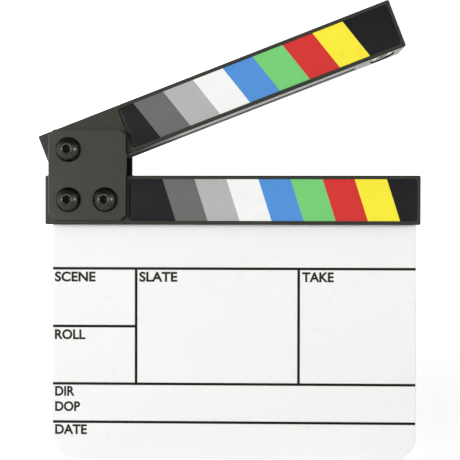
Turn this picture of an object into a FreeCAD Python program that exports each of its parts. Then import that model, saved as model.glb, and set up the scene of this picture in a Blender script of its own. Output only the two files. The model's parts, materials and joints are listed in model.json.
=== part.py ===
"""Clapperboard: an acrylic writing board hung from a fixed stick, with a second stick hinged above it.

Millimetres. +X runs from the hinge to the tips, +Y from front to back and +Z up. The origin is the
middle of the board's bottom edge. The upper stick is drawn about its pivot and the lower stick about
the screw below it, so that each piece of a stick shares that stick's placement.
"""
import FreeCAD, Part

import math
import os
import re

import Sketcher
from FreeCAD import Vector

SIZES = [
    ("stick_length", 160, "each clapper stick, hinge end to tip"),
    ("stick_height", 21, "each stick's front face"),
    ("stick_depth", 13.4, "lower stick, front to back"),
    ("stick_edge_radius", 0.3, "rounding of a stick's outer edges"),
    ("stick_corner_radius", 0.7, "corners of a stick's front and back"),
    ("closing_gap", 0.2, "left between the sticks when they are shut"),
    ("open_angle", 21.2, "degrees that the upper stick stands open"),
    ("screw_end_inset", 10.6, "stick's hinge end to the pivot and to the screw below it"),
    ("side_gap", 0.15, "between the upper stick and each hinge plate"),
    ("board_drop", 102.3, "board that shows below the lower stick"),
    ("board_thickness", 3, "acrylic sheet"),
    ("board_setback", 8.4, "lower stick's front face to the middle of the board"),
    ("board_seat", 6, "depth of the board's slot in the lower stick"),
    ("board_slot_clearance", 0.05, "beside the board in its slot"),
    ("board_hinge_inset", 1.2, "stick's hinge end to the board's edge"),
    ("board_corner_radius", 9.8, "bottom corners of the board"),
    ("board_edge_radius", 0.4, "polished edge of the board"),
    ("board_screw_count", 3, "screws along the slot"),
    ("board_screw_spacing", 48, "from one board screw to the next"),
    ("board_screw_tip_margin", 12, "stick's tip to the last board screw"),
    ("board_screw_length", 10, "from the rear face"),
    ("groove_hinge_margin", 26, "hinge end to the upper stick's groove"),
    ("groove_tip_margin", 21.7, "the groove's end to the tip"),
    ("label_plate_gap", 0.9, "hinge plate to the colour label's recess"),
    ("label_hinge_gap", 0.5, "recess's hinge end to the label"),
    ("label_rim", 1.5, "stick left standing around the recess"),
    ("label_recess_depth", 0.4, "recess in the stick's front face"),
    ("label_thickness", 0.3, "printed label"),
    ("label_corner_radius", 1.6, "corners of the recess"),
    ("label_clearance", 0.1, "beside the label in its recess, and at its tip end"),
    ("plate_margin", 8.6, "pivot to the hinge plate's top edge and hinge end"),
    ("plate_far_margin", 8.85, "lower screws to the hinge plate's bottom edge and tip side"),
    ("plate_thickness", 2.5, "each hinge plate"),
    ("plate_corner_cut", 2.4, "slanted corners of a hinge plate"),
    ("plate_edge_radius", 0.35, "broken edge of a hinge plate"),
    ("screw_spacing", 15.6, "between the two lower hinge screws"),
    ("screw_diameter", 6, "hinge screw shank"),
    ("screw_head_diameter", 10.5, "button head"),
    ("screw_head_height", 3.3, "button head"),
    ("screw_head_rim", 0.5, "straight rim below the dome"),
    ("screw_head_flat", 4.7, "diameter at which the dome would turn flat"),
    ("screw_socket_width", 4, "hexagon across flats"),
    ("screw_socket_depth", 2.1, "hexagon socket"),
    ("screw_socket_chamfer", 0.25, "countersink round the mouth of the socket"),
    ("screw_end_chamfer", 0.7, "end of a hinge screw"),
    ("screw_end_length", 2, "hinge screw that stands out of its nut"),
    ("screw_hole_clearance", 0.2, "round a hinge screw in plates and lower stick"),
    ("thread_clearance", 0.05, "round a thread in its nut or pilot hole"),
    ("running_clearance", 0.05, "round the pivot screw in its bush, and beside the friction washers"),
    ("press_clearance", 0.02, "round the bush in the upper stick and the insert in its nut"),
    ("bush_wall", 1.25, "pivot bush"),
    ("friction_washer_diameter", 16, "nylon washer beside the upper stick"),
    ("friction_washer_thickness", 0.8, "nylon washer"),
    ("friction_washer_clearance", 0.3, "round the nylon washer and in its hole"),
    ("flat_washer_diameter", 12, "steel washer under a nut"),
    ("flat_washer_thickness", 1.6, "steel washer"),
    ("disc_spring_diameter", 12.5, "disc spring under the pivot nut"),
    ("disc_spring_thickness", 0.7, "disc spring's sheet"),
    ("disc_spring_rise", 0.35, "height of the disc spring's cone"),
    ("nut_width", 10, "lock nut across flats"),
    ("nut_hexagon_height", 4.2, "lock nut's hexagon"),
    ("nut_height", 6, "lock nut with its collar"),
    ("nut_collar_diameter", 9.2, "round collar over the insert"),
    ("nut_collar_slope", 0.6, "height of the slope from hexagon to collar"),
    ("nut_insert_diameter", 7.9, "nylon insert"),
    ("nut_insert_thickness", 1.5, "nylon insert"),
    ("magnet_diameter", 11, "disc magnet"),
    ("magnet_thickness", 3, "disc magnet"),
    ("magnet_sink", 0.5, "magnet's face below the stick's face"),
    ("magnet_clearance", 0.15, "round the magnet in its pocket"),
    ("magnet_tip_margin", 9.4, "stick's tip to the magnet's centre"),
    ("magnet_screw_length", 8, "countersunk screw in the magnet"),
    ("small_screw_diameter", 3, "countersunk screws"),
    ("small_screw_head_diameter", 5.6, "countersunk screws"),
    ("small_screw_sink", 0.1, "countersunk head below its surface"),
    ("small_screw_clearance", 0.1, "round a countersunk head"),
    ("small_recess_length", 3, "cross recess, arm end to arm end"),
    ("small_recess_width", 0.8, "arms of the cross recess"),
    ("small_recess_depth", 1.2, "cross recess"),
    ("pilot_spare", 0.5, "pilot hole beyond its screw"),
]

# Driving places, as expressions on the sheet
BOARD_WIDTH = "(stick_length - board_hinge_inset)"
STICK_LEFT = f"(-{BOARD_WIDTH} / 2 - board_hinge_inset)"
PIVOT_X = f"({STICK_LEFT} + screw_end_inset)"
MIDDLE_Y = "(stick_depth / 2 - board_setback)"
LOWER_Z = "(board_drop + stick_height / 2)"
STICK_STEP = "(stick_height + closing_gap)"
PIVOT_Z = f"({LOWER_Z} + {STICK_STEP})"
STICK_TIP = "(stick_length - screw_end_inset)"
BOARD_Y = "(board_setback - stick_depth / 2)"
UPPER_DEPTH = "(stick_depth - 2 * side_gap)"
PLATE_RIGHT = "(screw_spacing + plate_far_margin)"
MAGNET_X = f"({STICK_TIP} - magnet_tip_margin)"
BOARD_SCREW_X = f"({STICK_TIP} - board_screw_tip_margin)"
BOARD_SCREW_Z = "(board_seat / 2 - stick_height / 2)"
SCREW_RADIUS = "(screw_diameter / 2)"
SMALL_RADIUS = "(small_screw_diameter / 2)"
SMALL_HEAD = "(small_screw_head_diameter / 2)"
BUSH_RADIUS = f"({SCREW_RADIUS} + running_clearance + bush_wall)"
WASHER_INNER = "(running_clearance + friction_washer_thickness)"
SPOT_DEPTH = f"({WASHER_INNER} - side_gap)"
SCREW_LENGTH = ("(2 * plate_thickness + stick_depth + flat_washer_thickness"
                " + nut_height + screw_end_length)")
PLATE_BACK_Y = f"({MIDDLE_Y} + stick_depth / 2 + plate_thickness)"
SCREW_SEAT_Y = f"({MIDDLE_Y} - stick_depth / 2 - plate_thickness)"
NUT_Y = f"({PLATE_BACK_Y} + flat_washer_thickness)"
PIVOT_NUT_Y = f"({NUT_Y} + disc_spring_thickness + disc_spring_rise)"

CORNERS = ("bottom_left", "bottom_right", "top_right", "top_left")
CUT_PAST = "1"  # how far a turned cut runs past the solid

doc = FreeCAD.newDocument("Clapperboard")
sheet = doc.addObject("Spreadsheet::Sheet", "Sizes")
for row, (alias, number, meaning) in enumerate(SIZES, start=1):
    sheet.set(f"A{row}", meaning)
    sheet.set(f"B{row}", str(number))
    sheet.setAlias(f"B{row}", alias)
doc.recompute()


# Expressions, sketches and features

def bind(text):
    """Turn the sheet's names in an expression into references to its cells."""
    return re.sub(r"[a-z]+(?:_[a-z]+)+", lambda name: "Sizes." + name.group(), text)


def value(text):
    """The number that an expression gives now."""
    return float(sheet.evalExpression(bind(text)))


def hold(sketch, kind, *place):
    """Add a dimension to a sketch; the last argument is its expression."""
    expression = place[-1]
    index = sketch.addConstraint(Sketcher.Constraint(kind, *place[:-1], value(expression)))
    sketch.setExpression(f"Constraints[{index}]", bind(expression))


def new_body(label):
    body = doc.addObject("PartDesign::Body", label)
    body.Label = label
    return body


def new_sketch(body, plane, at="0", across="0", up="0"):
    """A sketch on the body's XZ or XY plane, moved to a place along the axis that the plane leaves out."""
    sketch = body.newObject("Sketcher::SketchObject", f"{body.Label}_sketch")
    support = next(item for item in body.Origin.OriginFeatures if item.Role == plane)
    sketch.AttachmentSupport = [(support, "")]
    sketch.MapMode = "FlatFace"
    sketch.setExpression("AttachmentOffset.Base.x", bind(across))
    sketch.setExpression("AttachmentOffset.Base.y", bind(up))
    # the XZ plane's normal points to the front, against Y
    sketch.setExpression("AttachmentOffset.Base.z", bind(f"-({at})" if plane == "XZ_Plane" else at))
    doc.recompute()
    return sketch


def faces_axis(sketch):
    """True where a sketch's normal runs along its axis and not against it."""
    normal = sketch.Placement.Rotation.multVec(Vector(0, 0, 1))
    return normal.dot(Vector(1, 1, 1)) > 0


def pad(body, sketch, length, centred=False):
    """Extrude a sketch along its axis, or to both sides of it."""
    feature = body.newObject("PartDesign::Pad", f"{body.Label}_pad")
    feature.Profile = sketch
    feature.setExpression("Length", bind(length))
    feature.SideType = "Symmetric" if centred else "One side"
    feature.Reversed = not faces_axis(sketch)
    doc.recompute()
    return feature


def check_cut(body, before):
    doc.recompute()
    if body.Shape.isNull() or body.Shape.Volume >= before:
        raise RuntimeError(f"a cut in {body.Label} removes nothing")


def pocket(body, sketch, depth=None, backwards=False):
    """Cut along the sketch's axis, or against it; with no depth, right through both ways."""
    before = body.Shape.Volume
    feature = body.newObject("PartDesign::Pocket", f"{body.Label}_pocket")
    feature.Profile = sketch
    if depth is None:
        feature.Type = "ThroughAll"
        feature.SideType = "Symmetric"
    else:
        feature.setExpression("Length", bind(depth))
        feature.Reversed = faces_axis(sketch) != backwards
    check_cut(body, before)
    return feature


def turn(body, sketch, cut=False):
    """Spin a profile about its sketch's upright axis, as a solid or as a cut."""
    before = body.Shape.Volume if cut else 0
    kind = "Groove" if cut else "Revolution"
    feature = body.newObject(f"PartDesign::{kind}", f"{body.Label}_{kind.lower()}")
    feature.Profile = sketch
    feature.ReferenceAxis = (sketch, ["V_Axis"])
    feature.Angle = 360
    doc.recompute()
    if cut:
        check_cut(body, before)
    return feature


def row_of(body, feature, sketch, spacing, count):
    """Repeat a cut along its sketch's level axis, towards the hinge."""
    pattern = body.newObject("PartDesign::LinearPattern", f"{body.Label}_row")
    pattern.Originals = [feature]
    pattern.Direction = (sketch, ["H_Axis"])
    pattern.Reversed = True
    pattern.Mode = "Spacing"
    pattern.setExpression("Offset", bind(spacing))
    pattern.setExpression("Occurrences", bind(count))
    body.Tip = pattern
    doc.recompute()


def soften(body, radius):
    """Round every outer edge of the body as it stands."""
    shaped = body.Tip
    feature = body.newObject("PartDesign::Fillet", f"{body.Label}_edges")
    feature.Base = (shaped, [])
    feature.UseAllEdges = True
    feature.setExpression("Radius", bind(radius))
    doc.recompute()


# Outlines

def rectangle(sketch, left, right, bottom, top, rounded):
    """A held rectangle; rounded gives the radius of each corner that is an arc."""
    x = {"left": value(left), "right": value(right)}
    y = {"bottom": value(bottom), "top": value(top)}
    ends = []
    arcs = {}
    for turn_index, name in enumerate(CORNERS):
        end_y, end_x = name.split("_")
        corner = Vector(x[end_x], y[end_y], 0)
        if name not in rounded:
            ends.append((corner, corner))
            continue
        arc_radius = value(rounded[name])
        inward_x = arc_radius if end_x == "left" else -arc_radius
        inward_y = arc_radius if end_y == "bottom" else -arc_radius
        beside = corner + Vector(inward_x, 0, 0)
        above = corner + Vector(0, inward_y, 0)
        ends.append((above, beside) if turn_index % 2 == 0 else (beside, above))
        centre = corner + Vector(inward_x, inward_y, 0)
        start = math.radians(90 * (turn_index + 2))
        circle_geometry = Part.Circle(centre, Vector(0, 0, 1), arc_radius)
        arcs[turn_index] = Part.ArcOfCircle(circle_geometry, start, start + math.pi / 2)
    for side in range(4):
        following = (side + 1) % 4
        sketch.addGeometry(Part.LineSegment(ends[side][1], ends[following][0]), False)
        level = "Horizontal" if side % 2 == 0 else "Vertical"
        sketch.addConstraint(Sketcher.Constraint(level, side))
    for corner_index in range(4):
        incoming = (corner_index + 3) % 4
        if corner_index not in arcs:
            sketch.addConstraint(Sketcher.Constraint("Coincident", incoming, 2, corner_index, 1))
            continue
        arc = sketch.addGeometry(arcs[corner_index], False)
        sketch.addConstraint(Sketcher.Constraint("Tangent", incoming, 2, arc, 1))
        sketch.addConstraint(Sketcher.Constraint("Tangent", arc, 2, corner_index, 1))
        hold(sketch, "Radius", arc, rounded[CORNERS[corner_index]])
    hold(sketch, "DistanceY", -1, 1, 0, 1, bottom)
    hold(sketch, "DistanceX", -1, 1, 1, 1, right)
    hold(sketch, "DistanceY", -1, 1, 2, 1, top)
    hold(sketch, "DistanceX", -1, 1, 3, 1, left)
    doc.recompute()


def circle(sketch, x, y, radius):
    centre = Vector(value(x), value(y), 0)
    index = sketch.addGeometry(Part.Circle(centre, Vector(0, 0, 1), value(radius)), False)
    hold(sketch, "DistanceX", -1, 1, index, 3, x)
    hold(sketch, "DistanceY", -1, 1, index, 3, y)
    hold(sketch, "Radius", index, radius)


def polygon(sketch, points, dome=None):
    """A held closed outline; the side numbered dome is an arc centred on the sketch's upright axis."""
    corners = [Vector(value(x), value(y), 0) for x, y in points]
    for side, start in enumerate(corners):
        end = corners[(side + 1) % len(corners)]
        if side == dome:
            centre_y = (start.dot(start) - end.dot(end)) / (2 * (start.y - end.y))
            centre = Vector(0, centre_y, 0)
            radius = (start - centre).Length
            start_angle = math.atan2(start.y - centre_y, start.x)
            end_angle = math.atan2(end.y - centre_y, end.x)
            ring = Part.Circle(centre, Vector(0, 0, 1), radius)
            sketch.addGeometry(Part.ArcOfCircle(ring, start_angle, end_angle), False)
            sketch.addConstraint(Sketcher.Constraint("PointOnObject", side, 3, -2))
        else:
            sketch.addGeometry(Part.LineSegment(start, end), False)
    for side, (x, y) in enumerate(points):
        previous = (side - 1) % len(points)
        sketch.addConstraint(Sketcher.Constraint("Coincident", previous, 2, side, 1))
        hold(sketch, "DistanceX", -1, 1, side, 1, x)
        hold(sketch, "DistanceY", -1, 1, side, 1, y)
    doc.recompute()


def hexagon(sketch, width):
    """A regular hexagon about the sketch's origin, by its width across flats."""
    corner = f"({width}) / sqrt(3)"
    polygon(sketch, [(f"{corner} * cos({60 * step + 30})", f"{corner} * sin({60 * step + 30})")
                     for step in range(6)])


def cross(sketch):
    """The outline of a cross recess about the sketch's origin."""
    arm = "small_recess_length / 2"
    half = "small_recess_width / 2"
    quarter = [(arm, half), (half, half), (half, arm)]
    points = []
    for turn_index in range(4):
        for x, y in quarter:
            for _ in range(turn_index):
                x, y = f"-({y})", x
            points.append((x, y))
    polygon(sketch, points)


# Placements

def place(piece, x, y, z):
    """Stand a piece at a place in the part's frame."""
    for axis, expression in zip("xyz", (x, y, z)):
        piece.setExpression(f"Placement.Base.{axis}", bind(expression))
    doc.recompute()
    return piece


def on_lower_stick(piece):
    return place(piece, PIVOT_X, MIDDLE_Y, LOWER_Z)


def on_hinge(piece):
    return place(piece, PIVOT_X, MIDDLE_Y, PIVOT_Z)


def on_upper_stick(piece):
    """Stand a piece at the pivot, swung open with the upper stick."""
    piece.Placement = FreeCAD.Placement(Vector(), FreeCAD.Rotation(Vector(0, -1, 0), value("open_angle")))
    piece.setExpression("Placement.Rotation.Angle", bind("open_angle"))
    return on_hinge(piece)


def group(label, pieces):
    """Like pieces that share one node, each still a solid of its own."""
    compound = doc.addObject("Part::Compound", label)
    compound.Label = label
    compound.Links = pieces
    doc.recompute()
    return compound


# The board and the sticks

def slate_board():
    body = new_body("slate_board")
    face = new_sketch(body, "XZ_Plane")
    rectangle(face, f"-{BOARD_WIDTH} / 2", f"{BOARD_WIDTH} / 2", "0", "board_drop + board_seat",
              dict.fromkeys(("bottom_left", "bottom_right"), "board_corner_radius"))
    pad(body, face, "board_thickness", centred=True)
    soften(body, "board_edge_radius")
    hole = new_sketch(body, "XZ_Plane")
    circle(hole, f"{PIVOT_X} + {BOARD_SCREW_X}", f"{LOWER_Z} + {BOARD_SCREW_Z}",
           f"{SMALL_RADIUS} + screw_hole_clearance")
    first = pocket(body, hole)
    row_of(body, first, hole, "board_screw_spacing", "board_screw_count")
    return body


def stick_bar(label, depth, heel):
    """The bar of a stick about its screw, with its label recess; heel is its lower corner's radius there."""
    body = new_body(label)
    face = new_sketch(body, "XZ_Plane")
    rounded = dict.fromkeys(CORNERS, "stick_corner_radius")
    rounded["bottom_left"] = heel
    rectangle(face, "-screw_end_inset", STICK_TIP, "-stick_height / 2", "stick_height / 2", rounded)
    pad(body, face, depth, centred=True)
    soften(body, "stick_edge_radius")
    recess = new_sketch(body, "XZ_Plane", at=f"-{depth} / 2")
    rectangle(recess, f"{PLATE_RIGHT} + label_plate_gap", f"{STICK_TIP} - label_rim",
              "label_rim - stick_height / 2", "stick_height / 2 - label_rim",
              dict.fromkeys(CORNERS, "label_corner_radius"))
    pocket(body, recess, "label_recess_depth")
    return body


def cut_slot(body, start, end):
    """A slot as wide as the board's, in a stick's underside."""
    slot = new_sketch(body, "XY_Plane", at="-stick_height / 2")
    half = "(board_thickness / 2 + board_slot_clearance)"
    rectangle(slot, start, end, f"{BOARD_Y} - {half}", f"{BOARD_Y} + {half}", {})
    pocket(body, slot, "board_seat")


def cut_magnet_pocket(body, side):
    """The magnet's pocket and its screw's pilot hole, in the top (side 1) or underside (side -1)."""
    downwards = side > 0
    mouth = new_sketch(body, "XY_Plane", at=f"{side} * stick_height / 2")
    circle(mouth, MAGNET_X, "0", "magnet_diameter / 2 + magnet_clearance")
    pocket(body, mouth, "magnet_thickness + magnet_sink", backwards=downwards)
    pilot = new_sketch(body, "XY_Plane", at=f"{side} * stick_height / 2")
    circle(pilot, MAGNET_X, "0", f"{SMALL_RADIUS} + thread_clearance")
    pocket(body, pilot, "magnet_sink + small_screw_sink + magnet_screw_length + pilot_spare",
           backwards=downwards)


def cut_board_screw_holes(body):
    """Countersunk holes from the rear face, through the slot and into the front wall."""
    profile = new_sketch(body, "XY_Plane", at=BOARD_SCREW_Z, across=BOARD_SCREW_X)
    rear = "stick_depth / 2"
    bore = f"({SMALL_RADIUS} + thread_clearance)"
    mouth = f"({SMALL_HEAD} + small_screw_clearance)"
    floor = f"{rear} - small_screw_sink - board_screw_length - pilot_spare"
    polygon(profile, [
        ("0", floor),
        (bore, floor),
        (bore, f"{rear} - small_screw_sink - ({mouth} - {bore})"),
        (mouth, f"{rear} - small_screw_sink"),
        (mouth, f"{rear} + {CUT_PAST}"),
        ("0", f"{rear} + {CUT_PAST}"),
    ])
    first = turn(body, profile, cut=True)
    row_of(body, first, profile, "board_screw_spacing", "board_screw_count")


def lower_stick():
    body = stick_bar("lower_stick", "stick_depth", "stick_corner_radius")
    cut_slot(body, "-screw_end_inset", STICK_TIP)
    cut_magnet_pocket(body, 1)
    holes = new_sketch(body, "XZ_Plane")
    for x in ("0", "screw_spacing"):
        circle(holes, x, "0", f"{SCREW_RADIUS} + screw_hole_clearance")
    pocket(body, holes)
    cut_board_screw_holes(body)
    return on_lower_stick(body)


def upper_stick():
    body = stick_bar("upper_stick", UPPER_DEPTH, "stick_height / 2")
    cut_slot(body, "groove_hinge_margin - screw_end_inset", f"{STICK_TIP} - groove_tip_margin")
    cut_magnet_pocket(body, -1)
    bore = new_sketch(body, "XZ_Plane")
    circle(bore, "0", "0", f"{BUSH_RADIUS} + press_clearance")
    pocket(body, bore)
    for end in (-1, 1):
        spot = new_sketch(body, "XZ_Plane", at=f"{end} * {UPPER_DEPTH} / 2")
        circle(spot, "0", "0", "friction_washer_diameter / 2 + friction_washer_clearance")
        pocket(body, spot, SPOT_DEPTH, backwards=end > 0)
    return on_upper_stick(body)


def colour_label(label, depth):
    """A printed label, seated on the floor of a stick's recess."""
    body = new_body(label)
    face = new_sketch(body, "XZ_Plane", at=f"label_recess_depth - label_thickness - {depth} / 2")
    rectangle(face, f"{PLATE_RIGHT} + label_plate_gap + label_hinge_gap",
              f"{STICK_TIP} - label_rim - label_clearance",
              "label_rim + label_clearance - stick_height / 2",
              "stick_height / 2 - label_rim - label_clearance",
              dict.fromkeys(CORNERS, "label_corner_radius - label_clearance"))
    pad(body, face, "label_thickness")
    return body


# The hinge

def hinge_plate(label, at):
    """A plate over both sticks at the hinge end, drawn about the pivot."""
    body = new_body(label)
    face = new_sketch(body, "XZ_Plane", at=at)
    bottom = f"(-{STICK_STEP} - plate_far_margin)"
    polygon(face, [
        ("plate_corner_cut - plate_margin", bottom),
        (f"{PLATE_RIGHT} - plate_corner_cut", bottom),
        (PLATE_RIGHT, f"{bottom} + plate_corner_cut"),
        (PLATE_RIGHT, "plate_margin - plate_corner_cut"),
        (f"{PLATE_RIGHT} - plate_corner_cut", "plate_margin"),
        ("plate_corner_cut - plate_margin", "plate_margin"),
        ("-plate_margin", "plate_margin - plate_corner_cut"),
        ("-plate_margin", f"{bottom} + plate_corner_cut"),
    ])
    pad(body, face, "plate_thickness")
    soften(body, "plate_edge_radius")
    holes = new_sketch(body, "XZ_Plane")
    for x, z in (("0", "0"), ("0", f"-{STICK_STEP}"), ("screw_spacing", f"-{STICK_STEP}")):
        circle(holes, x, z, f"{SCREW_RADIUS} + screw_hole_clearance")
    pocket(body, holes)
    return on_hinge(body)


def button_screw(label):
    """A button head screw along Y, its head in front of the origin."""
    body = new_body(label)
    profile = new_sketch(body, "XY_Plane")
    head = "screw_head_diameter / 2"
    polygon(profile, [
        ("0", "-screw_head_height"),
        ("screw_head_flat / 2", "-screw_head_height"),
        (head, "-screw_head_rim"),
        (head, "0"),
        (SCREW_RADIUS, "0"),
        (SCREW_RADIUS, f"{SCREW_LENGTH} - screw_end_chamfer"),
        (f"{SCREW_RADIUS} - screw_end_chamfer", SCREW_LENGTH),
        ("0", SCREW_LENGTH),
    ], dome=1)
    turn(body, profile)
    socket = new_sketch(body, "XZ_Plane", at="-screw_head_height")
    hexagon(socket, "screw_socket_width")
    pocket(body, socket, "screw_socket_depth")
    mouth = new_sketch(body, "XY_Plane")
    corner = "(screw_socket_width / sqrt(3))"
    polygon(mouth, [
        ("0", "-screw_head_height"),
        (f"{corner} + screw_socket_chamfer", "-screw_head_height"),
        ("0", f"{corner} + screw_socket_chamfer - screw_head_height"),
    ])
    turn(body, mouth, cut=True)
    return body


def ring(label, outer, inner, length, at="0"):
    """A plain ring about Y, from a place on it towards the back."""
    body = new_body(label)
    face = new_sketch(body, "XZ_Plane", at=at)
    circle(face, "0", "0", outer)
    circle(face, "0", "0", inner)
    pad(body, face, length)
    return body


def lock_nut(label):
    """A lock nut about Y, with a round collar at the back over the seat of its insert."""
    body = new_body(label)
    face = new_sketch(body, "XZ_Plane")
    hexagon(face, "nut_width")
    pad(body, face, "nut_height")
    collar = new_sketch(body, "XY_Plane")
    outside = f"nut_width / sqrt(3) + {CUT_PAST}"
    polygon(collar, [
        ("nut_collar_diameter / 2", f"nut_height + {CUT_PAST}"),
        ("nut_collar_diameter / 2", "nut_hexagon_height + nut_collar_slope"),
        (outside, "nut_hexagon_height"),
        (outside, f"nut_height + {CUT_PAST}"),
    ])
    turn(body, collar, cut=True)
    bore = new_sketch(body, "XZ_Plane")
    circle(bore, "0", "0", f"{SCREW_RADIUS} + thread_clearance")
    pocket(body, bore)
    seat = new_sketch(body, "XZ_Plane", at="nut_height")
    circle(seat, "0", "0", "nut_insert_diameter / 2 + press_clearance")
    pocket(body, seat, "nut_insert_thickness", backwards=True)
    return body


def nut_insert(label):
    return ring(label, "nut_insert_diameter / 2", f"{SCREW_RADIUS} + thread_clearance",
                "nut_insert_thickness", at="nut_height - nut_insert_thickness")


def flat_washer(label):
    return ring(label, "flat_washer_diameter / 2", f"{SCREW_RADIUS} + screw_hole_clearance",
                "flat_washer_thickness")


def disc_spring(label):
    """A coned spring washer about Y, its rim on the washer and its bore under the nut."""
    body = new_body(label)
    profile = new_sketch(body, "XY_Plane")
    inner = f"{SCREW_RADIUS} + screw_hole_clearance"
    outer = "disc_spring_diameter / 2"
    polygon(profile, [
        (inner, "disc_spring_rise"),
        (outer, "0"),
        (outer, "disc_spring_thickness"),
        (inner, "disc_spring_thickness + disc_spring_rise"),
    ])
    turn(body, profile)
    return body


def friction_washer(label, side):
    """A nylon washer between the upper stick and the front (side -1) or rear (side 1) plate."""
    nearer = "running_clearance" if side < 0 else WASHER_INNER
    return on_upper_stick(ring(
        label, "friction_washer_diameter / 2", f"{SCREW_RADIUS} + friction_washer_clearance",
        "friction_washer_thickness", at=f"{side} * (stick_depth / 2 - {nearer})"))


def pivot_bush():
    return on_upper_stick(ring(
        "pivot_bush", BUSH_RADIUS, f"{SCREW_RADIUS} + running_clearance",
        f"stick_depth - 2 * {WASHER_INNER}", at=f"{WASHER_INNER} - stick_depth / 2"))


# Magnets and small screws

def magnet(label, side):
    """A countersunk disc magnet in the lower stick's top (side 1) or the upper stick's underside."""
    body = new_body(label)
    profile = new_sketch(body, "XZ_Plane", across=MAGNET_X,
                         up=f"{side} * (stick_height / 2 - magnet_sink)")
    mouth = f"({SMALL_HEAD} + small_screw_clearance)"
    bore = f"({SMALL_RADIUS} + screw_hole_clearance)"
    outer = "magnet_diameter / 2"
    polygon(profile, [
        (mouth, "0"),
        (outer, "0"),
        (outer, f"-{side} * magnet_thickness"),
        (bore, f"-{side} * magnet_thickness"),
        (bore, f"-{side} * (small_screw_sink + {mouth} - {bore})"),
        (mouth, f"-{side} * small_screw_sink"),
    ])
    turn(body, profile)
    return body


def small_screw_points(side, length):
    """Half the outline of a countersunk screw that points against side, its head just below 0."""
    return [
        ("0", f"-{side} * small_screw_sink"),
        (SMALL_HEAD, f"-{side} * small_screw_sink"),
        (SMALL_RADIUS, f"-{side} * (small_screw_sink + {SMALL_HEAD} - {SMALL_RADIUS})"),
        (SMALL_RADIUS, f"-{side} * (small_screw_sink + {length})"),
        ("0", f"-{side} * (small_screw_sink + {length})"),
    ]


def magnet_screw(label, side):
    body = new_body(label)
    face = f"{side} * (stick_height / 2 - magnet_sink)"
    profile = new_sketch(body, "XZ_Plane", across=MAGNET_X, up=face)
    polygon(profile, small_screw_points(side, "magnet_screw_length"))
    turn(body, profile)
    recess = new_sketch(body, "XY_Plane", at=f"{face} - {side} * small_screw_sink", across=MAGNET_X)
    cross(recess)
    pocket(body, recess, "small_recess_depth", backwards=side > 0)
    return body


def board_screw(label):
    """A countersunk screw about Y that enters from the rear."""
    body = new_body(label)
    profile = new_sketch(body, "XY_Plane")
    polygon(profile, small_screw_points(1, "board_screw_length"))
    turn(body, profile)
    recess = new_sketch(body, "XZ_Plane", at="-small_screw_sink")
    cross(recess)
    pocket(body, recess, "small_recess_depth", backwards=True)
    return body


def board_screws():
    rear_y = f"{MIDDLE_Y} + stick_depth / 2"
    pieces = []
    for step in range(int(value("board_screw_count"))):
        x = f"{PIVOT_X} + {BOARD_SCREW_X} - {step} * board_screw_spacing"
        screw = board_screw(f"board_screw_{step + 1}")
        pieces.append(place(screw, x, rear_y, f"{LOWER_Z} + {BOARD_SCREW_Z}"))
    return group("board_screws", pieces)


def plate_pair(label, make, y):
    """Two like pieces of the lower hinge screws, side by side at a place along Y."""
    left = place(make(f"{label}_left"), PIVOT_X, y, LOWER_Z)
    right = place(make(f"{label}_right"), f"{PIVOT_X} + screw_spacing", y, LOWER_Z)
    return group(label, [left, right])


def on_pivot(piece, y):
    return place(piece, PIVOT_X, y, PIVOT_Z)


subparts = [
    slate_board(),
    lower_stick(),
    upper_stick(),
    on_lower_stick(colour_label("lower_colour_label", "stick_depth")),
    on_upper_stick(colour_label("upper_colour_label", UPPER_DEPTH)),
    hinge_plate("front_hinge_plate", "-stick_depth / 2 - plate_thickness"),
    hinge_plate("rear_hinge_plate", "stick_depth / 2"),
    on_pivot(button_screw("pivot_screw"), SCREW_SEAT_Y),
    on_pivot(flat_washer("pivot_washer"), PLATE_BACK_Y),
    on_pivot(disc_spring("pivot_disc_spring"), NUT_Y),
    on_pivot(lock_nut("pivot_lock_nut"), PIVOT_NUT_Y),
    on_pivot(nut_insert("pivot_nut_insert"), PIVOT_NUT_Y),
    plate_pair("plate_screws", button_screw, SCREW_SEAT_Y),
    plate_pair("plate_washers", flat_washer, PLATE_BACK_Y),
    plate_pair("plate_lock_nuts", lock_nut, NUT_Y),
    plate_pair("plate_nut_inserts", nut_insert, NUT_Y),
    pivot_bush(),
    friction_washer("front_friction_washer", -1),
    friction_washer("rear_friction_washer", 1),
    on_lower_stick(magnet("lower_magnet", 1)),
    on_lower_stick(magnet_screw("lower_magnet_screw", 1)),
    on_upper_stick(magnet("upper_magnet", -1)),
    on_upper_stick(magnet_screw("upper_magnet_screw", -1)),
    board_screws(),
]

doc.recompute()
for item in doc.Objects:
    if "Invalid" in item.State or "Error" in item.State:
        raise RuntimeError(f"{item.Label} could not be made: {item.State}")
for piece in subparts:
    if piece.Shape.isNull() or not piece.Shape.isValid():
        raise RuntimeError(f"{piece.Label} has no valid shape")

os.makedirs("parts", exist_ok=True)
for piece in subparts:
    piece.Shape.exportStep(f"parts/{piece.Label}.step")
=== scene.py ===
"""Looks of a clapperboard over its CAD frame: printed colour bars, ruled board, finishes and studio.

Metres, in the frame's own axes: +X from the hinge to the tips, +Y from front to back, +Z up.
"""
import json
import math

import bpy
from bpy.props import FloatProperty, FloatVectorProperty, PointerProperty
from mathutils import Matrix, Vector


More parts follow.
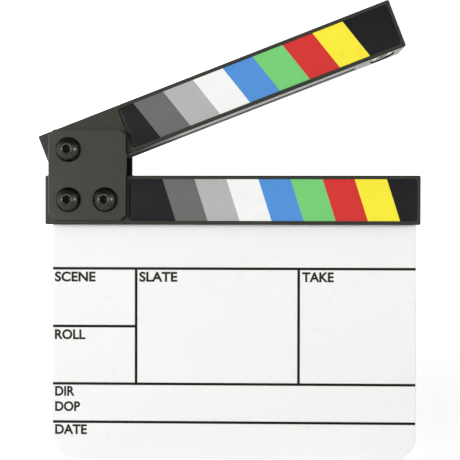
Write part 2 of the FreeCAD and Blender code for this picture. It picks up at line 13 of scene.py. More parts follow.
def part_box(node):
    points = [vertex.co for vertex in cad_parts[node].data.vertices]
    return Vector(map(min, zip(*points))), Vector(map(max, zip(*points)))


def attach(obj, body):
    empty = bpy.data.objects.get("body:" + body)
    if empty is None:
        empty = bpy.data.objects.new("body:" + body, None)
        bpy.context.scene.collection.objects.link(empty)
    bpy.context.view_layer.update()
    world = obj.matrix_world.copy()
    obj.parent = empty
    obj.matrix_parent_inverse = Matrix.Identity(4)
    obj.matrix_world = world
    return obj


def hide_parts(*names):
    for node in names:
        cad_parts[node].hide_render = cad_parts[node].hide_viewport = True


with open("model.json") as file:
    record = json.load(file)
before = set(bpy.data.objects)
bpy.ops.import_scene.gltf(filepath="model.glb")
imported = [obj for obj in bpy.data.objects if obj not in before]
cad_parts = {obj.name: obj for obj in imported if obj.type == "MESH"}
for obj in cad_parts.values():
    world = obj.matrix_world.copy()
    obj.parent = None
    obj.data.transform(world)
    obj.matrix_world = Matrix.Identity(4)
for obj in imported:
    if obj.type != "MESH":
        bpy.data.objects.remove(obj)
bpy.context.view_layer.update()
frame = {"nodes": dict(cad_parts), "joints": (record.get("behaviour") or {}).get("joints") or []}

bl_info = {
    "name": "Clapperboard looks",
    "version": (1, 0, 0),
    "blender": (4, 5, 0),
    "location": "3D View > Sidebar > Clapperboard",
    "description": "Prints, finishes and lights a clapperboard over its CAD frame",
    "category": "Object",
}

MM = 0.001
# places that are closer together than this are taken as one
NEAR = 1e-6
NODES = frame["nodes"]
HINGE = frame["joints"][0]
PIVOT = Vector(HINGE["pos_m"])
HINGE_AXIS = Vector(HINGE["axis"])
# the sticks are open at rest, and the joint's range goes down from there to shut
OPEN_ANGLE = -math.radians(HINGE["range_deg"][0])
HINGE_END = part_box("lower_stick")[0].x
BOARD_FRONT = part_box("slate_board")[0].y


def linear(hex_colour):
    """An sRGB hex colour as linear red, green, blue and alpha."""
    channels = [int(hex_colour[i:i + 2], 16) / 255 for i in (0, 2, 4)]
    return [c / 12.92 if c <= 0.04045 else ((c + 0.055) / 1.055) ** 2.4 for c in channels] + [1.0]


def length(name, description, default):
    """A setting for a length, with its default in mm."""
    return FloatProperty(name=name, description=description, default=default * MM,
                         unit="LENGTH", precision=5)


def colour(name, description, hex_colour):
    """A setting for a colour."""
    return FloatVectorProperty(name=name, description=description, default=linear(hex_colour),
                               size=4, min=0, max=1, subtype="COLOR")


# Settings

class PrintSizes(bpy.types.PropertyGroup):
    """Sizes of what is printed on the labels and the board."""
    bar_pitch: length("Bar pitch", "Width of one colour bar along the stick", 13.62)
    bar_lean: length("Bar lean", "How far a bar's foot lies nearer to the tip than its head", 5.65)
    first_bar: length("First bar", "Hinge end to the end of the lower label's first bar", 50.31)
    upper_shift: length("Upper shift", "How far the upper label's bars lie nearer to the hinge", 7.1)
    label_corner: length("Label corner", "Corner radius of a label", 1.5)
    rule_width: length("Rule width", "Width of the ruled lines", 1.13)
    ink_height: length("Ink height", "Thickness of the printed ink", 0.03)
    caption_height: length("Caption height", "Height of the captions' capitals", 3.95)


class ScrewSizes(bpy.types.PropertyGroup):
    """Sizes of the hinge's button head screws."""
    head_radius: length("Head radius", "Button head", 5.25)
    head_height: length("Head height", "Button head", 3.3)
    head_rim: length("Head rim", "Straight rim below the dome", 0.5)
    dome_flat: length("Dome flat", "Radius at which the dome has its full height", 2.25)
    mouth_radius: length("Mouth radius", "Countersink round the socket", 2.25)
    mouth_slope: FloatProperty(name="Mouth slope", description="Countersink round the socket",
                               default=math.radians(30), subtype="ANGLE")
    socket_width: length("Socket width", "Hexagon across flats", 3.4)
    socket_depth: length("Socket depth", "Hexagon, without its drill point", 2.1)
    thread_radius: length("Thread radius", "Crests of the thread", 3.0)
    thread_depth: length("Thread depth", "Crest to root", 0.5)
    thread_pitch: length("Thread pitch", "Crest to crest", 1.0)


class FinishColours(bpy.types.PropertyGroup):
    """Colours of the finishes."""
    acetal: colour("Acetal", "Machined black acetal of sticks and hinge plates", "32332C")
    acrylic: colour("Acrylic", "Opal writing board", "F6F7F5")
    rule_ink: colour("Rule ink", "Ruled lines, printed thick", "14120A")
    caption_ink: colour("Caption ink", "Captions, printed thin", "28261E")
    bar_black: colour("Black bar", "First and last bar", "1A181A")
    bar_dark_grey: colour("Dark grey bar", "Second bar", "6A6B6A")
    bar_light_grey: colour("Light grey bar", "Third bar", "B4B5B4")
    bar_white: colour("White bar", "Fourth bar", "F4F5F3")
    bar_blue: colour("Blue bar", "Fifth bar", "5592D8")
    bar_green: colour("Green bar", "Sixth bar", "78CE77")
    bar_red: colour("Red bar", "Seventh bar", "D43735")
    bar_yellow: colour("Yellow bar", "Eighth bar", "FAEB3E")
    oxide: colour("Black oxide", "Hinge, board and magnet screws", "3F3F3A")
    zinc: colour("Zinc", "Nuts and washers", "C4C7CC")


class StudioSettings(bpy.types.PropertyGroup):
    """Camera and light."""
    camera_place: FloatVectorProperty(
        name="Camera place", description="Where the camera stands", size=3,
        default=(0.00301, -0.28938, 0.10202), subtype="TRANSLATION", unit="LENGTH", precision=5)
    camera_yaw: FloatProperty(name="Camera yaw", description="Turn to the left", subtype="ANGLE",
                              default=math.radians(0.913))
    camera_pitch: FloatProperty(name="Camera pitch", description="Turn upwards", subtype="ANGLE",
                                default=math.radians(-0.401))
    camera_roll: FloatProperty(name="Camera roll", description="Turn about the view", subtype="ANGLE",
                               default=math.radians(-0.1))
    focal_share: FloatProperty(name="Focal share", description="Focal length over the picture's width",
                               default=660 / 460)
    ambient: FloatProperty(name="Ambient", description="Strength of the room's even light", default=0.54)
    key_power: FloatProperty(name="Key power", description="Left softbox", default=196, unit="POWER")
    fill_power: FloatProperty(name="Fill power", description="Right softbox", default=14, unit="POWER")
    rear_power: FloatProperty(name="Rear power", description="Softbox behind", default=18, unit="POWER")


# Materials

def add_node(tree, kind, settings, inputs):
    """A node with its settings; an input is linked where it is given a socket."""
    node = tree.nodes.new(kind)
    for name, value in settings.items():
        setattr(node, name, value)
    for name, value in inputs.items():
        if isinstance(value, bpy.types.NodeSocket):
            tree.links.new(value, node.inputs[name])
        else:
            node.inputs[name].default_value = value
    return node


def new_material(name, **constants):
    """A material with a Principled shader; the constants are set on its own sockets."""
    material = bpy.data.materials.new(name)
    material.use_nodes = True
    tree = material.node_tree
    tree.nodes.clear()
    shader = add_node(tree, "ShaderNodeBsdfPrincipled", {}, {
        key.replace("_", " ").title().replace("Ior", "IOR"): value for key, value in constants.items()})
    add_node(tree, "ShaderNodeOutputMaterial", {}, {"Surface": shader.outputs["BSDF"]})
    place = add_node(tree, "ShaderNodeTexCoord", {}, {}).outputs["Object"]
    return material, tree, shader, place


def tinted(tree, base, by, dark, light):
    """A colour that runs from dark to light times the base, along a 0 to 1 pattern."""
    shades = add_node(tree, "ShaderNodeValToRGB", {}, {"Fac": by})
    for stop, share in zip(shades.color_ramp.elements, (dark, light)):
        stop.color = [min(1, channel * share) for channel in base[:3]] + [1]
    return shades.outputs["Color"]


def uneven(tree, by, smooth, dull):
    """A roughness that runs from smooth to dull along a noise, which mostly keeps to 0.3 to 0.7."""
    return add_node(tree, "ShaderNodeMapRange", {}, {
        "Value": by, "From Min": 0.3, "From Max": 0.7, "To Min": smooth, "To Max": dull}).outputs["Result"]


def facing(tree):
    """Which way a face looks: its normal's X, Y and Z."""
    normal = add_node(tree, "ShaderNodeNewGeometry", {}, {}).outputs["Normal"]
    return add_node(tree, "ShaderNodeSeparateXYZ", {}, {"Vector": normal}).outputs


def machined_acetal(name, base, turn=0.0, sides=(0.0, 0.0), painted_wall_shade=1.0, painted_shade_depth=None, edges=1.0):
    """Black acetal, milled and wiped: satin, slightly green grey, with faint streaks along the cut.

    Turn is the cut's slope. Sides are added to the roughness: the first to that of faces that look
    neither forwards nor back, the second to that of undersides further from the hinge. The side
    faces and the rounded upper and lower edges get painted shade, each down to its given share of the
    base, and so does a face at the given depth, if one is given; the edges and that face are rougher.
    """
    material, tree, shader, place = new_material(name, ior=1.48, specular_ior_level=0.22)
    # streaks lie along the cut and are counted from the pivot
    streak_length, streak_width = 25 * MM, 0.35 * MM
    along = add_node(tree, "ShaderNodeMapping", {"vector_type": "TEXTURE"}, {
        "Vector": place, "Location": PIVOT, "Rotation": (0, -turn, 0),
        "Scale": (streak_length, streak_width, streak_width)}).outputs["Vector"]
    streaks = add_node(tree, "ShaderNodeTexNoise", {}, {
        "Vector": along, "Scale": 1.0, "Detail": 3.0, "Roughness": 0.6})
    # the sawn and wiped bar is uneven over about 9 mm
    clouds = add_node(tree, "ShaderNodeTexNoise", {}, {
        "Vector": place, "Scale": 1 / (9 * MM), "Detail": 4.0, "Roughness": 0.55})
    # cutter grain of 0.5 mm, coarser than life so that it shows
    grain = add_node(tree, "ShaderNodeTexNoise", {}, {
        "Vector": place, "Scale": 1 / (0.5 * MM), "Detail": 2.0, "Roughness": 0.7})
    blend = add_node(tree, "ShaderNodeMix", {"data_type": "FLOAT"}, {
        0: 0.25, 2: clouds.outputs["Fac"], 3: streaks.outputs["Fac"]})
    shade = tinted(tree, base, blend.outputs[0], 0.82, 1.18)

    # side faces are duller, but undersides turn smoother where the stick leaves the hinge plates
    ways = facing(tree)
    square = add_node(tree, "ShaderNodeMath", {"operation": "ABSOLUTE"}, {0: ways["Y"]}).outputs[0]
    sideways = add_node(tree, "ShaderNodeMapRange", {}, {
        "Value": square, "From Min": 0.2, "From Max": 0.9, "To Min": 1.0, "To Max": 0.0})
    under = add_node(tree, "ShaderNodeMapRange", {}, {
        "Value": ways["Z"], "From Min": -0.3, "From Max": -0.1, "To Min": sides[1], "To Max": sides[0]})
    reach = add_node(tree, "ShaderNodeSeparateXYZ", {}, {"Vector": along}).outputs["X"]
    plates_end, finish_starts = 26 * MM, 48 * MM
    gain = add_node(tree, "ShaderNodeMapRange", {}, {
        "Value": reach, "From Min": plates_end / streak_length, "From Max": finish_starts / streak_length,
        "To Min": sides[0], "To Max": under.outputs["Result"]})
    rough = add_node(tree, "ShaderNodeMath", {"operation": "MULTIPLY_ADD"}, {
        0: sideways.outputs["Result"], 1: gain.outputs["Result"],
        2: uneven(tree, blend.outputs[0], 0.27, 0.33)}).outputs[0]
    # painted shade: the side faces are darkened to stand in for the shade they are in
    if painted_wall_shade < 1:
        dim = add_node(tree, "ShaderNodeMapRange", {}, {
            "Value": square, "From Min": 0.2, "From Max": 0.6, "To Min": painted_wall_shade, "To Max": 1.0})
        shade = add_node(tree, "ShaderNodeMix", {"data_type": "RGBA", "blend_type": "MULTIPLY"}, {
            0: 1.0, 6: shade, 7: dim.outputs["Result"]}).outputs[2]
    # painted shade in the places found below, which are also made rougher
    for where, share, more in painted_shade_places(tree, place, ways, square, painted_shade_depth, edges):
        shade = add_node(tree, "ShaderNodeMix", {"data_type": "RGBA"}, {
            0: where, 6: shade, 7: [channel * share for channel in base[:3]] + [1]}).outputs[2]
        rough = add_node(tree, "ShaderNodeMath", {"operation": "MULTIPLY_ADD"}, {
            0: where, 1: more, 2: rough}).outputs[0]
    tree.links.new(shade, shader.inputs["Base Color"])
    tree.links.new(rough, shader.inputs["Roughness"])

    # the relief is fainter on side faces
    relief = add_node(tree, "ShaderNodeMix", {"data_type": "FLOAT"}, {
        0: 0.5, 2: grain.outputs["Fac"], 3: streaks.outputs["Fac"]})
    strength = add_node(tree, "ShaderNodeMapRange", {}, {
        "Value": sideways.outputs["Result"], "To Min": 0.1, "To Max": 0.03})
    bump = add_node(tree, "ShaderNodeBump", {}, {
        "Height": relief.outputs[0], "Strength": strength.outputs["Result"], "Distance": 0.03 * MM})
    tree.links.new(bump.outputs["Normal"], shader.inputs["Normal"])
    return material


def painted_shade_places(tree, place, ways, square, painted_shade_depth, edges):
    """Where acetal gets painted shade and more roughness: masks, each with its shade and what its roughness
    gains.
    """
    places = []
    # painted shade on the face at the given depth: a label recess floor, or the rear plate's inner face
    if painted_shade_depth is not None:
        depth = add_node(tree, "ShaderNodeSeparateXYZ", {}, {"Vector": place}).outputs["Y"]
        within = 0.1 * MM
        down = add_node(tree, "ShaderNodeMath", {"operation": "COMPARE"}, {0: depth, 1: painted_shade_depth, 2: within})
        floor = add_node(tree, "ShaderNodeMath", {"operation": "MULTIPLY"}, {0: down.outputs[0], 1: square})
        places.append((floor.outputs[0], 0.15, 0.4))
    if edges < 1:
        # a rounded edge looks both forwards or back and up or down, and gets painted shade
        both = add_node(tree, "ShaderNodeMath", {"operation": "MULTIPLY"}, {0: square, 1: ways["Z"]})
        slant = add_node(tree, "ShaderNodeMath", {"operation": "ABSOLUTE"}, {0: both.outputs[0]})
        rounded = add_node(tree, "ShaderNodeMapRange", {}, {
            "Value": slant.outputs[0], "From Min": 0.03, "From Max": 0.2})
        places.append((rounded.outputs["Result"], edges, 0.65))
    return places


def opal_acrylic(name, base):
    """Cast opal acrylic sheet with a fine writing matt: milky white, soft gloss, faint cloudiness."""
    # light spreads about 1 mm inside the sheet, which softens its shading
    material, tree, shader, place = new_material(
        name, ior=1.49, specular_ior_level=0.35, subsurface_weight=0.35, subsurface_radius=(1, 1, 1),
        subsurface_scale=1 * MM)
    clouds = add_node(tree, "ShaderNodeTexNoise", {}, {
        "Vector": place, "Scale": 1 / (28 * MM), "Detail": 3.0, "Roughness": 0.5})
    milk = tinted(tree, base, clouds.outputs["Fac"], 0.975, 1.0)
    # painted shade: the sheet is darkened along its rounded, polished edges
    square = add_node(tree, "ShaderNodeMath", {"operation": "ABSOLUTE"}, {0: facing(tree)["Y"]})
    rim = add_node(tree, "ShaderNodeMapRange", {}, {
        "Value": square.outputs[0], "From Min": 0.7, "From Max": 0.995, "To Min": 1.0, "To Max": 0.0})
    shade = add_node(tree, "ShaderNodeMix", {"data_type": "RGBA", "blend_type": "MULTIPLY"}, {
        0: rim.outputs["Result"], 6: milk, 7: (0.74, 0.74, 0.74, 1)})
    tree.links.new(shade.outputs[2], shader.inputs["Base Color"])
    # wiped marker haze, in patches of about 12 mm
    haze = add_node(tree, "ShaderNodeTexNoise", {}, {
        "Vector": place, "Scale": 1 / (12 * MM), "Detail": 5.0, "Roughness": 0.6})
    tree.links.new(uneven(tree, haze.outputs["Fac"], 0.26, 0.36), shader.inputs["Roughness"])
    # the matt's grain, drawn at 0.4 mm so that it shows
    grain = add_node(tree, "ShaderNodeTexNoise", {}, {
        "Vector": place, "Scale": 1 / (0.4 * MM), "Detail": 2.0, "Roughness": 0.6})
    bump = add_node(tree, "ShaderNodeBump", {}, {
        "Height": grain.outputs["Fac"], "Strength": 0.08, "Distance": 0.02 * MM})
    tree.links.new(bump.outputs["Normal"], shader.inputs["Normal"])
    return material


def printed_vinyl(name, base):
    """Vinyl label, inkjet printed and matt laminated: even colour, soft low sheen, faint orange peel."""
    material, tree, shader, place = new_material(name, ior=1.46, specular_ior_level=0.15)
    # ink lies a little uneven over about 5 mm
    clouds = add_node(tree, "ShaderNodeTexNoise", {}, {
        "Vector": place, "Scale": 1 / (5 * MM), "Detail": 4.0, "Roughness": 0.6})
    tree.links.new(tinted(tree, base, clouds.outputs["Fac"], 0.94, 1.05), shader.inputs["Base Color"])
    tree.links.new(uneven(tree, clouds.outputs["Fac"], 0.42, 0.52), shader.inputs["Roughness"])
    # the laminate's orange peel, 0.6 mm from bump to bump
    peel = add_node(tree, "ShaderNodeTexVoronoi", {"feature": "SMOOTH_F1"}, {
        "Vector": place, "Scale": 1 / (0.6 * MM), "Smoothness": 1.0})
    bump = add_node(tree, "ShaderNodeBump", {}, {
        "Height": peel.outputs["Distance"], "Strength": 0.12, "Distance": 0.02 * MM})
    tree.links.new(bump.outputs["Normal"], shader.inputs["Normal"])
    return material


def screened_ink(name, base):
    """Screen printed ink on acrylic: warm black, matt, with pinholes where the mesh left it thin."""
    material, tree, shader, place = new_material(name, ior=1.5, specular_ior_level=0.12)
    # pinholes about 0.25 mm apart
    thin = add_node(tree, "ShaderNodeTexNoise", {}, {
        "Vector": place, "Scale": 1 / (0.25 * MM), "Detail": 3.0, "Roughness": 0.7})
    tree.links.new(tinted(tree, base, thin.outputs["Fac"], 0.75, 1.5), shader.inputs["Base Color"])
    tree.links.new(uneven(tree, thin.outputs["Fac"], 0.5, 0.62), shader.inputs["Roughness"])
    return material


def plated_metal(name, base, roughness, spread, grain_mm, rim=None):
    """A plated or blacked metal: an even reflection, broken by its grain.

    Rim holds the distances from a screw's axis between which its finish is darkened with painted shade.
    """
    material, tree, shader, place = new_material(name, metallic=1.0)
    grain = add_node(tree, "ShaderNodeTexNoise", {}, {
        "Vector": place, "Scale": 1 / (grain_mm * MM), "Detail": 4.0, "Roughness": 0.65}).outputs["Fac"]
    shade = tinted(tree, base, grain, 0.7, 1.3)
    # painted shade: the head is darkened towards its rim
    if rim:
        reach = add_node(tree, "ShaderNodeAttribute", {"attribute_name": "reach"}, {}).outputs["Fac"]
        rubbed = add_node(tree, "ShaderNodeMapRange", {}, {
            "Value": reach, "From Min": rim[0], "From Max": rim[1], "To Min": 1.0, "To Max": 0.3})
        shade = add_node(tree, "ShaderNodeMix", {"data_type": "RGBA", "blend_type": "MULTIPLY"}, {
            0: 1.0, 6: shade, 7: rubbed.outputs["Result"]}).outputs[2]
    tree.links.new(shade, shader.inputs["Base Color"])
    rough = uneven(tree, grain, roughness - spread, roughness + spread)
    tree.links.new(rough, shader.inputs["Roughness"])
    bump = add_node(tree, "ShaderNodeBump", {}, {
        "Height": grain, "Strength": 0.35, "Distance": 0.05 * MM})
    tree.links.new(bump.outputs["Normal"], shader.inputs["Normal"])
    return material


def moulded_nylon(name):
    """Natural nylon, moulded: waxy cream with a soft satin skin."""
    material, tree, shader, place = new_material(name, ior=1.53, specular_ior_level=0.4)
    # the skin is cloudy over about 2 mm
    clouds = add_node(tree, "ShaderNodeTexNoise", {}, {
        "Vector": place, "Scale": 1 / (2 * MM), "Detail": 3.0, "Roughness": 0.6}).outputs["Fac"]
    tree.links.new(tinted(tree, linear("E6E2D2"), clouds, 0.9, 1.05), shader.inputs["Base Color"])
    tree.links.new(uneven(tree, clouds, 0.35, 0.5), shader.inputs["Roughness"])
    return material


def dress(material, *names):
    """Give CAD nodes a material."""
    for name in names:
        slots = NODES[name].data.materials
        slots.clear()
        slots.append(material)


# Modelling

def deselect():
    """Leave edit mode and select nothing."""
    if bpy.context.object and bpy.context.object.mode != "OBJECT":
        bpy.ops.object.mode_set(mode="OBJECT")
    bpy.ops.object.select_all(action="DESELECT")


def activate(piece):
    """Select a piece alone."""
    deselect()
    piece.select_set(True)
    bpy.context.view_layer.objects.active = piece


def added(name):
    """The piece that an operator has just added, named, with its place in its mesh."""
    piece = bpy.context.object
    piece.name = piece.data.name = name
    bpy.ops.object.transform_apply(location=True, rotation=True, scale=True)
    return piece


def add_block(name, low, high):
    """A cuboid between two corners."""
    deselect()
    bpy.ops.mesh.primitive_cube_add(size=1, location=(low + high) / 2)
    bpy.context.object.scale = high - low
    return added(name)


def edit(piece, items, wanted, edges=False):
    """Go into edit mode with only those edges or faces of a piece selected that are wanted."""
    activate(piece)
    for item in (*piece.data.vertices, *piece.data.edges, *piece.data.polygons):
        item.select = False
    for item in items:
        item.select = wanted(item)
    bpy.context.tool_settings.mesh_select_mode = (False, edges, not edges)
    bpy.ops.object.mode_set(mode="EDIT")


def edit_edges(piece, wanted):
    """Go into edit mode with only the edges selected that wanted(start, end) picks."""
    points = piece.data.vertices
    edit(piece, piece.data.edges, lambda edge: wanted(*(points[i].co for i in edge.vertices)), edges=True)


def edit_faces(piece, wanted):
    """Go into edit mode with only the faces selected that wanted(face) picks."""
    edit(piece, piece.data.polygons, wanted)


def bevel_edges(piece, wanted, offset, segments):
    """Round the edges that wanted(start, end) picks."""
    edit_edges(piece, wanted)
    bpy.ops.mesh.bevel(offset=offset, segments=segments, affect="EDGES")
    bpy.ops.object.mode_set(mode="OBJECT")


def extrude_scaled(depth, share, centre):
    """Extrude the selected face backwards and scale it about a point."""
    bpy.ops.mesh.extrude_region_move(TRANSFORM_OT_translate={"value": (0, depth, 0)})
    bpy.ops.transform.resize(value=(share, 1, share), center_override=centre)


def turned(name, axis, seat, rings):
    """A solid turned about a line along Y, ring after ring of a radius and a depth behind the seat."""
    deselect()
    radius, depth = rings[0]
    bpy.ops.mesh.primitive_circle_add(
        vertices=48, radius=radius, fill_type="NGON", location=(axis.x, seat + depth, axis.z),
        rotation=(math.radians(90), 0, 0))
    piece = added(name)
    edit_faces(piece, lambda face: True)
    for next_radius, next_depth in rings[1:]:
        extrude_scaled(next_depth - depth, next_radius / radius, (axis.x, seat + next_depth, axis.z))
        radius, depth = next_radius, next_depth
    bpy.ops.object.mode_set(mode="OBJECT")
    return piece


def along_depth(start, end):
    """True of an edge that runs from front to back."""
    return abs(start.x - end.x) < NEAR and abs(start.z - end.z) < NEAR


def join(name, pieces):
    """One piece of several."""
    activate(pieces[0])
    for piece in pieces:
        piece.select_set(True)
    bpy.ops.object.join()
    return added(name)


def settle(piece, body, angle=30):
    """Finish a piece: clean normals, smooth shading and body."""
    activate(piece)
    bpy.ops.object.mode_set(mode="EDIT")
    bpy.ops.mesh.select_all(action="SELECT")
    bpy.ops.mesh.remove_doubles(threshold=NEAR / 10)
    bpy.ops.mesh.normals_make_consistent(inside=False)
    bpy.ops.object.mode_set(mode="OBJECT")
    bpy.ops.object.shade_smooth_by_angle(angle=math.radians(angle))
    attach(piece, body)


# Operators

class CLAPPER_OT_acetal(bpy.types.Operator):
    """Finish the sticks and hinge plates as machined black acetal"""
    bl_idname = "clapper.acetal"
    bl_label = "Sticks and hinge plates"

    def execute(self, context):
        base = context.scene.clapper_colours.acetal
        # a stick has dull side faces, a smoother underside, and painted shade along its rounded edges and
        # on its label recess floor
        recess = 0.4 * MM
        sticks = [("lower_stick", "black acetal bar, milled", 0.0),
                  ("upper_stick", "black acetal bar, milled along the swinging stick", OPEN_ANGLE)]
        for node, name, slope in sticks:
            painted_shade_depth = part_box(node)[0].y + recess
            dress(machined_acetal(name, base, slope, sides=(0.35, -0.04), painted_shade_depth=painted_shade_depth, edges=0.25), node)
        # the sheet is a little paler than the bars and was milled up and down; its side faces get painted
        # shade
        sheet = [channel * 1.27 for channel in base[:3]]
        cut = {"turn": math.radians(90), "sides": (0.4, 0.4), "painted_wall_shade": 0.25}
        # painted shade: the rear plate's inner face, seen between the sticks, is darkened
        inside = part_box("rear_hinge_plate")[0].y
        dress(machined_acetal("black acetal sheet, milled", sheet, **cut), "front_hinge_plate")
        dress(machined_acetal("black acetal sheet, milled on one side", sheet, painted_shade_depth=inside, **cut),
              "rear_hinge_plate")
        return {"FINISHED"}


class CLAPPER_OT_board(bpy.types.Operator):
    """Finish the writing board as opal acrylic sheet"""
    bl_idname = "clapper.board"
    bl_label = "Writing board"

    def execute(self, context):
        acrylic = context.scene.clapper_colours.acrylic
        dress(opal_acrylic("opal acrylic, cast and matted", acrylic), "slate_board")
        return {"FINISHED"}


class CLAPPER_OT_labels(bpy.types.Operator):
    """Model the two colour bar labels and cut them into their leaning bars"""
    bl_idname = "clapper.labels"
    bl_label = "Colour bar labels"

    def execute(self, context):
        sizes = context.scene.clapper_print
        colours = context.scene.clapper_colours
        low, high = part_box("lower_colour_label")
        lower = add_block("lower_colour_bars", low, high)
        bevel_edges(lower, along_depth, sizes.label_corner, 8)
        soft_edge = 0.08 * MM
        bevel_edges(lower, lambda a, b: max(a.y, b.y) < low.y + NEAR, soft_edge, 2)
        bpy.ops.object.duplicate(linked=False)
        upper = added("upper_colour_bars")

        names = ("black", "dark_grey", "light_grey", "white", "blue", "green", "red", "yellow")
        inks = [printed_vinyl(f"printed vinyl, {name.replace('_', ' ')}", getattr(colours, f"bar_{name}"))
                for name in names]
        for piece, shift in ((lower, 0), (upper, sizes.upper_shift)):
            first = HINGE_END + sizes.first_bar - shift
            heads = [first + step * sizes.bar_pitch for step in range(len(inks))]
            self.cut_bars(piece, heads, sizes.bar_lean, low, high)
            self.ink_bars(piece, heads, sizes.bar_lean, low, high, inks)

        # the upper label lies on its stick, one stick higher, a little further back and swung open
        stick_low, stick_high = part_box("lower_stick")
        lift = PIVOT.z - (stick_low.z + stick_high.z) / 2
        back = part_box("upper_colour_label")[0].y - low.y
        upper.data.transform(Matrix.Translation(PIVOT) @ Matrix.Rotation(OPEN_ANGLE, 4, HINGE_AXIS)
                             @ Matrix.Translation(Vector((0, back, lift)) - PIVOT))
        labels = [(lower, "lower_colour_label", "base"), (upper, "upper_colour_label", "clapper")]
        for piece, node, body in labels:
            settle(piece, body)
            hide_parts(node)
        return {"FINISHED"}

    def cut_bars(self, piece, heads, lean, low, high):
        """Cut a label along the bars' edges, from each head down to its foot."""
        activate(piece)
        across = Vector((high.z - low.z, 0, lean)).normalized()
        bpy.ops.object.mode_set(mode="EDIT")
        for head in heads:
            bpy.ops.mesh.select_all(action="SELECT")
            bpy.ops.mesh.bisect(plane_co=(head, low.y, high.z), plane_no=across, threshold=NEAR)
        bpy.ops.object.mode_set(mode="OBJECT")

    def ink_bars(self, piece, heads, lean, low, high, inks):
        """Give each face the ink of the bar that it lies in; the last bar has the first ink again."""
        piece.data.materials.clear()
        for ink in inks:
            piece.data.materials.append(ink)
        for face in piece.data.polygons:
            head = face.center.x - lean * (high.z - face.center.z) / (high.z - low.z)
            face.material_index = sum(head > edge for edge in heads) % len(inks)


class CLAPPER_OT_ruling(bpy.types.Operator):
    """Model the ruled lines on the writing board"""
    bl_idname = "clapper.ruling"
    bl_label = "Ruled lines"

    def execute(self, context):
        sizes = context.scene.clapper_print
        half = sizes.rule_width / 2
        margin = 0.22 * MM
        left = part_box("slate_board")[0].x + margin
        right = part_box("slate_board")[1].x - margin
        # heights above the board's bottom edge, and distances from the hinge end
        scene_top, roll_top, crew_top, date_top = 83.1 * MM, 57.8 * MM, 32.6 * MM, 15.8 * MM
        slate_left, take_left = HINGE_END + 38.0 * MM, HINGE_END + 109.0 * MM
        lines = [
            (left, scene_top - half, right, scene_top + half),
            (left, roll_top - half, slate_left - half, roll_top + half),
            (left, crew_top - half, right, crew_top + half),
            (left, date_top - half, right, date_top + half),
            (slate_left - half, crew_top + half, slate_left + half, scene_top - half),
            (take_left - half, crew_top + half, take_left + half, scene_top - half),
        ]
        pieces = []
        for x0, z0, x1, z1 in lines:
            low = Vector((x0, BOARD_FRONT - sizes.ink_height, z0))
            high = Vector((x1, BOARD_FRONT, z1))
            line = add_block("rule", low, high)
            bevel_edges(line, lambda a, b: max(a.y, b.y) < BOARD_FRONT - NEAR, sizes.ink_height / 2, 2)
            pieces.append(line)
        ruling = join("board_ruling", pieces)
        ink = screened_ink("screen ink on acrylic, thick", context.scene.clapper_colours.rule_ink)
        ruling.data.materials.clear()
        ruling.data.materials.append(ink)
        settle(ruling, "base")
        return {"FINISHED"}


class CLAPPER_OT_captions(bpy.types.Operator):
    """Model the field captions on the writing board"""
    bl_idname = "clapper.captions"
    bl_label = "Field captions"

    def execute(self, context):
        sizes = context.scene.clapper_print
        # left end and width along the board, and the foot's height above its bottom edge, in mm
        captions = [
            ("SCENE", 2.3, 17.9, 77.5),
            ("SLATE", 39.4, 16.6, 77.5),
            ("TAKE", 110.5, 13.75, 77.5),
            ("ROLL", 2.3, 13.4, 52.2),
            ("DIR", 2.4, 8.6, 27.3),
            ("DOP", 2.4, 11.0, 20.6),
            ("DATE", 2.4, 14.0, 10.5),
        ]
        pieces = [self.letter(words, HINGE_END + left * MM, width * MM, foot * MM, sizes)
                  for words, left, width, foot in captions]
        lettering = join("board_captions", pieces)
        ink = screened_ink("screen ink on acrylic, thin", context.scene.clapper_colours.caption_ink)
        lettering.data.materials.clear()
        lettering.data.materials.append(ink)
        settle(lettering, "base")
        return {"FINISHED"}

    def letter(self, words, left, width, foot, sizes):
        """Words as a mesh on the board's face, fitted to their width and height."""
        # shares of the built-in face's size: how much heavier its strokes get, and its capitals' height
        weight, capitals = 0.032, 0.682
        deselect()
        bpy.ops.object.text_add()
        text = bpy.context.object.data
        text.body = words
        text.resolution_u = 6
        text.offset = weight
        text.extrude = 0.5
        bpy.ops.object.convert(target="MESH")
        caption = bpy.context.object
        places = [vertex.co for vertex in caption.data.vertices]
        start = min(place.x for place in places)
        across = width / (max(place.x for place in places) - start)
        up = sizes.caption_height / capitals
        upright = Matrix.Rotation(math.radians(90), 4, "X")
        caption.data.transform(
            Matrix.Translation((left, BOARD_FRONT, foot)) @ upright
            @ Matrix.Diagonal((across, up, sizes.ink_height, 1)) @ Matrix.Translation((-start, 0, 0)))
        return caption


